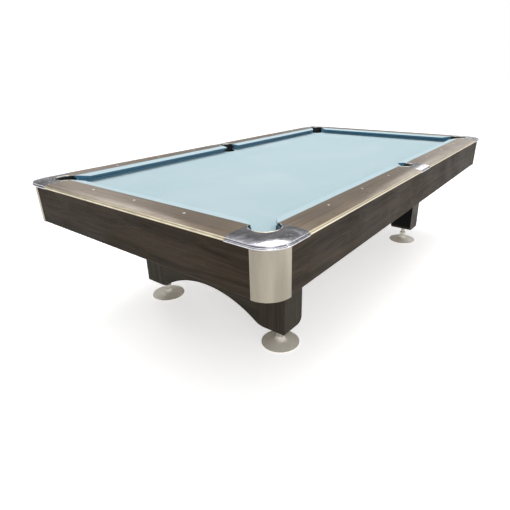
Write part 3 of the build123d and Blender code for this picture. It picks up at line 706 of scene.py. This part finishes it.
def new_piece(name, bm, body, material, replaces=(), wall=0.0):
    """Finishes a mesh as a shown piece that rides on a body."""
    mesh = bpy.data.meshes.new(name)
    bmesh.ops.triangulate(bm, faces=[face for face in bm.faces if len(face.verts) > 4])
    bm.to_mesh(mesh)
    bm.free()
    mesh.shade_smooth()
    mesh.set_sharp_from_angle(angle=SHARP)
    piece = bpy.data.objects.new(name, mesh)
    bpy.context.scene.collection.objects.link(piece)
    mesh.materials.append(material)
    if wall:
        thick = piece.modifiers.new("Wall", "SOLIDIFY")
        thick.thickness = wall
        thick.offset = -1
    even = piece.modifiers.new("Even shading", "WEIGHTED_NORMAL")
    even.keep_sharp = True
    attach(piece, body)
    if replaces:
        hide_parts(*replaces)
    return piece


def softened_copy(node, width, body, material, segments=2):
    """A node's shape with rounded edges, shown in place of the node."""
    bm = node_mesh(node)
    soften(bm, width, segments)
    return new_piece(f"{node}_finished", bm, body, material, (node,))


def paint(node, material):
    """Gives a carried-over node its material."""
    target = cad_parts[node]
    if not target.material_slots:
        target.data.materials.append(material)
    for held in target.material_slots:
        held.material = material


def mirrored(bm, x_sign, y_sign):
    """Moves a bmesh made at +X, +Y to another quadrant, with its faces outwards."""
    bmesh.ops.scale(bm, vec=(x_sign, y_sign, 1), verts=bm.verts)
    if x_sign * y_sign < 0:
        bmesh.ops.reverse_faces(bm, faces=bm.faces)


# ---- Stage ---------------------------------------------------------------------------------------
class POOLTABLE_OT_stage(bpy.types.Operator):
    """Adds the camera, the lights, the sky and the pale floor"""

    bl_idname = "pool_table.stage"
    bl_label = "Stage"

    def execute(self, context):
        stage = settings().stage
        scene = context.scene
        camera = bpy.data.objects.new("camera", bpy.data.cameras.new("camera"))
        scene.collection.objects.link(camera)
        camera.data.lens = stage.focal_length
        camera.data.shift_x = stage.frame_shift
        camera.data.clip_end = stage.floor_size
        camera.matrix_world = (
            Matrix.Translation(stage.camera_place)
            @ Matrix.Rotation(stage.heading - math.pi / 2, 4, "Z")
            @ Matrix.Rotation(math.pi / 2 - stage.dip, 4, "X")
            @ Matrix.Rotation(stage.roll, 4, "Z")
        )
        scene.camera = camera
        scene.view_settings.view_transform = "Standard"
        self.add_light("overhead", (1.2, 0.4, 6.2), (0.2, 0.0, 0.8), 7.0, stage.key_power)
        self.add_light("beyond", (3.7, 2.5, 6.1), (-1.4, -0.8, 0.8), 1.9, 0.6 * stage.back_power)
        self.add_light("left", (1.2, 5.3, 4.1), (-1.4, -0.1, 0.8), 2.2, 0.45 * stage.back_power)
        self.add_light("end", (9.0, 0.5, 4.6), (0.0, -0.8, 0.8), 3.2, 0.75 * stage.back_power)
        self.add_light("right", (-0.1, -3.4, 0.7), (-1.4, -0.8, 0.7), 0.6, stage.side_power)
        self.add_light("fill", (-4.0, -4.5, 2.6), (0, 0, 0.6), 4.0, stage.fill_power)
        self.add_sky(scene)
        bm = bmesh.new()
        bmesh.ops.create_grid(bm, x_segments=1, y_segments=1, size=stage.floor_size / 2)
        mesh = bpy.data.meshes.new("floor")
        bm.to_mesh(mesh)
        bm.free()
        floor = bpy.data.objects.new("floor", mesh)
        scene.collection.objects.link(floor)
        mesh.materials.append(self.floor_material())
        return {"FINISHED"}

    def add_light(self, name, place, target, size, power):
        light = bpy.data.lights.new(name, "AREA")
        light.shape = "DISK"
        light.size = size
        light.energy = power
        lamp = bpy.data.objects.new(name, light)
        bpy.context.scene.collection.objects.link(lamp)
        aim = Vector(target) - Vector(place)
        turn = aim.to_track_quat("-Z", "Y").to_matrix().to_4x4()
        lamp.matrix_world = Matrix.Translation(place) @ turn

    def add_sky(self, scene):
        """Light from all round with a dark band above the horizon, plain white to the camera."""
        world = bpy.data.worlds.new("studio")
        world.use_nodes = True
        scene.world = world
        tree = world.node_tree
        back = tree.nodes["Background"]
        direction = add(tree, "ShaderNodeTexCoord").outputs["Generated"]
        height = add(tree, "ShaderNodeSeparateXYZ", {0: direction}).outputs["Z"]
        ramp = add(tree, "ShaderNodeValToRGB", {0: height})
        stops = ((0.0, 1.0), (0.08, 0.9), (0.15, 0.25), (0.50, 0.16), (0.76, 1.0))
        for index, (place, level) in enumerate(stops):
            if index < 2:
                stop = ramp.color_ramp.elements[index]
                stop.position = place
            else:
                stop = ramp.color_ramp.elements.new(place)
            stop.color = (level, level, level, 1)
        seen = add(tree, "ShaderNodeLightPath").outputs["Is Camera Ray"]
        shown = mixed(tree, seen, ramp.outputs["Color"], (1, 1, 1, 1))
        tree.links.new(shown, back.inputs["Color"])
        back.inputs["Strength"].default_value = 1.0

    def floor_material(self):
        c = settings().colours
        material, tree, shader, vector = new_material(
            "floor", Roughness=0.8, Emission_Strength=0.6
        )
        tone = mixed(
            tree, ramped(tree, noise(tree, vector, 0.6), 0.3, 0.7),
            rgba(c.floor), rgba([0.985 * value for value in c.floor]),
        )
        tree.links.new(tone, shader.inputs["Base Color"])
        tree.links.new(tone, shader.inputs["Emission Color"])
        return material


# ---- Bed cloth -----------------------------------------------------------------------------------
class POOLTABLE_OT_bed_cloth(bpy.types.Operator):
    """Stretches the cloth over the slates and turns it down into the pockets"""

    bl_idname = "pool_table.bed_cloth"
    bl_label = "Bed cloth"

    def execute(self, context):
        sizes = settings().sizes
        bm = node_mesh("bed_cloth")
        below = [
            face for face in bm.faces
            if face.normal.z < 0.5 or face.calc_center_median().z < BED_TOP - MERGE
        ]
        bmesh.ops.delete(bm, geom=below, context="FACES")
        rims = [edge for edge in bm.edges if edge.is_boundary and self.in_pocket(edge, sizes)]
        folded = bmesh.ops.extrude_edge_only(bm, edges=rims)["geom"]
        moved = [item for item in folded if isinstance(item, bmesh.types.BMVert)]
        bmesh.ops.translate(bm, vec=(0, 0, -sizes.cloth_fold), verts=moved)
        creases = [edge for edge in rims if edge.is_valid and len(edge.link_faces) == 2]
        bmesh.ops.bevel(
            bm, geom=creases, offset=sizes.cloth_bend, offset_type="OFFSET", segments=3,
            profile=0.5, affect="EDGES", material=-1, clamp_overlap=True,
        )
        bmesh.ops.recalc_face_normals(bm, faces=bm.faces)
        top = max(bm.faces, key=lambda face: face.calc_area())
        if top.normal.z < 0:
            bmesh.ops.reverse_faces(bm, faces=bm.faces)
        area = sum(face.calc_area() for face in bm.faces)
        cloth = new_piece(
            "bed_cloth_stretched", bm, "table", finish("bed_cloth"), ("bed_cloth",),
            sizes.cloth_thickness,
        )
        return {"FINISHED"}

    def in_pocket(self, edge, sizes):
        """Whether a boundary edge follows the round edge of a pocket."""
        x, y = (abs(value) for value in ((edge.verts[0].co + edge.verts[1].co) / 2)[:2])
        corner = sizes.corner_liner_radius
        corner_x, corner_y = CORNER_LINER_HIGH.x - corner, CORNER_LINER_HIGH.y - corner
        side_y = SIDE_LINER_HIGH.y - sizes.side_liner_radius
        tolerance = 0.0006
        off_corner = math.hypot(x - corner_x, y - corner_y) - sizes.corner_cloth_radius
        off_side = math.hypot(x, y - side_y) - sizes.side_cloth_radius
        return min(abs(off_corner), abs(off_side)) < tolerance


# ---- Cushions ------------------------------------------------------------------------------------
class POOLTABLE_OT_cushions(bpy.types.Operator):
    """Covers the six cushions, with rounded noses, jaws and tucked back edges"""

    bl_idname = "pool_table.cushions"
    bl_label = "Cushions"

    def execute(self, context):
        sizes = settings().sizes
        names = [f"cushion_{end}" for end in ENDS]
        names += [f"cushion_{side}_{end}" for end, side in CORNERS]
        for name in names:
            bm = node_mesh(name)
            soften(bm, sizes.cushion_round, 3, math.radians(12))
            piece = new_piece(
                f"{name}_covered", bm, "table", finish("cushion_cloth"), (name,)
            )
        return {"FINISHED"}


# ---- Metalwork -----------------------------------------------------------------------------------
class POOLTABLE_OT_castings(bpy.types.Operator):
    """Polishes the castings and corner plates and softens their edges"""

    bl_idname = "pool_table.castings"
    bl_label = "Castings and plates"

    def execute(self, context):
        sizes = settings().sizes
        castings = [f"corner_casting_{end}_{side}" for end, side in CORNERS]
        castings += [f"side_casting_{side}" for side in SIDES]
        for name in castings:
            softened_copy(name, sizes.casting_round, "table", finish("chrome"))
        for end, side in CORNERS:
            name = f"corner_plate_{end}_{side}"
            softened_copy(name, sizes.casting_round, "table", finish("plate"))
        return {"FINISHED"}


class POOLTABLE_OT_pocket_beads(bpy.types.Operator):
    """Runs a bright bead round the upper edge of each pocket"""

    bl_idname = "pool_table.pocket_beads"
    bl_label = "Pocket beads"

    def execute(self, context):
        sizes = settings().sizes
        radius = sizes.corner_liner_radius
        centre = Vector((CORNER_LINER_HIGH.x - radius, CORNER_LINER_HIGH.y - radius, 0))
        for end, side in CORNERS:
            bm = self.ring(centre, radius, *CORNER_BEAD)
            mirrored(bm, ENDS[end], SIDES[side])
            new_piece(f"pocket_bead_{end}_{side}", bm, "table", finish("bead"))
        radius = sizes.side_liner_radius
        centre = Vector((0, SIDE_LINER_HIGH.y - radius, 0))
        for side, sign in SIDES.items():
            bm = self.ring(centre, radius, *SIDE_BEAD)
            mirrored(bm, 1, sign)
            new_piece(f"pocket_bead_{side}", bm, "table", finish("bead"))
        return {"FINISHED"}

    def ring(self, centre, radius, start, end):
        """A round bead from one angle to another about an upright axis."""
        bead = settings().sizes.pocket_bead
        bm = bmesh.new()
        away = Vector((math.cos(start), math.sin(start), 0))
        middle = centre + away * (radius + bead) + UP * (RAIL_TOP - 0.6 * bead)
        turn = away.cross(UP).to_track_quat("Z", "Y").to_matrix().to_4x4()
        place = Matrix.Translation(middle) @ turn
        made = bmesh.ops.create_circle(bm, cap_ends=True, segments=12, radius=bead, matrix=place)
        geom = made["verts"] + bm.edges[:] + bm.faces[:]
        bmesh.ops.spin(
            bm, geom=geom, cent=centre, axis=UP, angle=end - start, steps=48, use_merge=False
        )
        bmesh.ops.recalc_face_normals(bm, faces=bm.faces)
        return bm


class POOLTABLE_OT_levelling_feet(bpy.types.Operator):
    """Turns the dishes, and cuts real threads and collars on their studs"""

    bl_idname = "pool_table.levelling_feet"
    bl_label = "Levelling feet"

    def execute(self, context):
        sizes = settings().sizes
        for end, side in CORNERS:
            softened_copy(
                f"leveller_dish_{end}_{side}", sizes.foot_round, f"dish_{end}_{side}",
                finish("foot"), 3,
            )
            bm = self.stud(sizes)
            mirrored(bm, ENDS[end], SIDES[side])
            new_piece(
                f"levelling_screw_{end}_{side}", bm, f"stud_{end}_{side}", finish("stud"),
                (f"leveller_stud_{end}_{side}",),
            )
        return {"FINISHED"}

    def stud(self, sizes):
        """A spigot, a six-sided collar and a screw thread, at the foot left corner."""
        bm = bmesh.new()
        x, y = FOOT_CENTRE.x, FOOT_CENTRE.y
        collar_low = FOOT_HIGH.z
        collar_high = collar_low + sizes.collar_height
        self.add_rod(bm, x, y, sizes.spigot_radius, STUD_LOW.z, collar_low, 32)
        corner_radius = sizes.collar_flats / math.sqrt(3)
        collar = self.add_rod(bm, x, y, corner_radius, collar_low, collar_high, 6)
        bmesh.ops.bevel(
            bm, geom=list({edge for vert in collar for edge in vert.link_edges}),
            offset=sizes.collar_round, offset_type="OFFSET", segments=3, profile=0.5,
            affect="EDGES", material=-1, clamp_overlap=True,
        )
        self.add_thread(bm, x, y, collar_high, STUD_HIGH.z, sizes)
        return bm

    def add_rod(self, bm, x, y, radius, low, high, segments):
        place = Matrix.Translation((x, y, (low + high) / 2))
        return bmesh.ops.create_cone(
            bm, cap_ends=True, segments=segments, radius1=radius, radius2=radius,
            depth=high - low, matrix=place,
        )["verts"]

    def add_thread(self, bm, x, y, low, high, sizes):
        """One turn's profile, spun upwards and closed by a core."""
        steps = 28
        core_lap = 0.0001
        core_seat = 0.001
        turns = int((high - low) / sizes.stud_pitch) - 1
        lift = sizes.stud_pitch
        profile = (
            (sizes.stud_root, 0.0),
            (sizes.stud_root, 0.12 * lift),
            (sizes.stud_crest, 0.44 * lift),
            (sizes.stud_crest, 0.56 * lift),
            (sizes.stud_root, 0.88 * lift),
            (sizes.stud_root, lift),
        )
        verts = [bm.verts.new((x + radius, y, low + rise)) for radius, rise in profile]
        edges = [bm.edges.new(pair) for pair in zip(verts, verts[1:])]
        before = set(bm.faces)
        bmesh.ops.spin(
            bm, geom=verts + edges, cent=(x, y, 0), axis=UP, dvec=(0, 0, lift / steps),
            angle=FULL_TURN * turns, steps=steps * turns, use_merge=False,
        )
        ribbon = [face for face in bm.faces if face not in before]
        around = {vert for face in ribbon for vert in face.verts}
        bmesh.ops.remove_doubles(bm, verts=list(around), dist=MERGE)
        ribbon = [face for face in bm.faces if face not in before]
        bmesh.ops.recalc_face_normals(bm, faces=ribbon)
        sample = ribbon[len(ribbon) // 2]
        outward = sample.calc_center_median() - Vector((x, y, 0))
        if sample.normal.dot(Vector((outward.x, outward.y, 0))) < 0:
            bmesh.ops.reverse_faces(bm, faces=ribbon)
        self.add_rod(bm, x, y, sizes.stud_root + core_lap, low - core_seat, high, steps)


# ---- Woodwork ------------------------------------------------------------------------------------
class POOLTABLE_OT_rails(bpy.types.Operator):
    """Gives the rail caps their laminate and eased edges, with trims and sights"""

    bl_idname = "pool_table.rails"
    bl_label = "Rails"

    def execute(self, context):
        width = settings().sizes.wood_round
        for end in ENDS:
            softened_copy(f"rail_cap_{end}", width, "table", finish("laminate_y"))
        for end, side in CORNERS:
            name = f"rail_cap_{side}_{end}"
            softened_copy(name, width, "table", finish("laminate_x"))
        paint("rail_trims", finish("trim"))
        paint("sights", finish("sight"))
        return {"FINISHED"}


class POOLTABLE_OT_body(bpy.types.Operator):
    """Gives the aprons, legs and arched panels their wood and eased edges"""

    bl_idname = "pool_table.body"
    bl_label = "Aprons and legs"

    def execute(self, context):
        width = settings().sizes.wood_round
        for end in ENDS:
            softened_copy(f"apron_{end}", width, "table", finish("apron_y"))
            softened_copy(f"arch_panel_{end}", width, "table", finish("arch_wood"))
        for side in SIDES:
            softened_copy(f"apron_{side}", width, "table", finish("apron_x"))
        for end, side in CORNERS:
            softened_copy(f"leg_{end}_{side}", width, "table", finish("leg_wood"))
        return {"FINISHED"}


class POOLTABLE_OT_hidden_parts(bpy.types.Operator):
    """Gives the slates, frame, pockets and fasteners their finishes"""

    bl_idname = "pool_table.hidden_parts"
    bl_label = "Slates, frame and fasteners"

    def execute(self, context):
        finish_of = {
            "slate_head": "slate",
            "slate_middle": "slate",
            "slate_foot": "slate",
            "side_subrails": "subrail_x",
            "end_subrails": "subrail_y",
            "frame_side_beams": "timber_x",
            "frame_cross_beams": "timber_y",
            "corner_pocket_liners": "pocket",
            "side_pocket_liners": "pocket",
            "corner_pocket_buckets": "pocket",
            "side_pocket_buckets": "pocket",
            "apron_brackets": "black_steel",
            "leveller_nut_plates": "black_steel",
            "rail_bolts": "zinc",
            "slate_screws": "zinc",
            "leg_bolts": "zinc",
        }
        for node, name in finish_of.items():
            paint(node, finish(name))
        return {"FINISHED"}


# ---- Panel, settings and running -----------------------------------------------------------------
class PoolTableSettings(bpy.types.PropertyGroup):
    """Everything that a user may change."""

    sizes: bpy.props.PointerProperty(type=PoolTableSizes)
    colours: bpy.props.PointerProperty(type=PoolTableColours)
    stage: bpy.props.PointerProperty(type=PoolTableStage)


OPERATORS = (
    POOLTABLE_OT_stage,
    POOLTABLE_OT_bed_cloth,
    POOLTABLE_OT_cushions,
    POOLTABLE_OT_castings,
    POOLTABLE_OT_pocket_beads,
    POOLTABLE_OT_levelling_feet,
    POOLTABLE_OT_rails,
    POOLTABLE_OT_body,
    POOLTABLE_OT_hidden_parts,
)


class POOLTABLE_PT_panel(bpy.types.Panel):
    """The table's pieces and settings"""

    bl_label = "Pool table"
    bl_space_type = "VIEW_3D"
    bl_region_type = "UI"
    bl_category = "Pool table"

    def draw(self, context):
        for operator in OPERATORS:
            self.layout.operator(operator.bl_idname)
        for group in (settings().sizes, settings().colours, settings().stage):
            box = self.layout.box()
            for name in group.bl_rna.properties.keys():
                if name not in {"rna_type", "name"}:
                    box.prop(group, name)


CLASSES = (
    PoolTableSizes,
    PoolTableColours,
    PoolTableStage,
    PoolTableSettings,
    *OPERATORS,
    POOLTABLE_PT_panel,
)


def register():
    for kind in CLASSES:
        bpy.utils.register_class(kind)
    bpy.types.Scene.pool_table = bpy.props.PointerProperty(type=PoolTableSettings)


def unregister():
    del bpy.types.Scene.pool_table
    for kind in reversed(CLASSES):
        bpy.utils.unregister_class(kind)


def main():
    register()
    for operator in OPERATORS:
        group, name = operator.bl_idname.split(".")
        getattr(getattr(bpy.ops, group), name)()


if __name__ == "__main__":
    main()
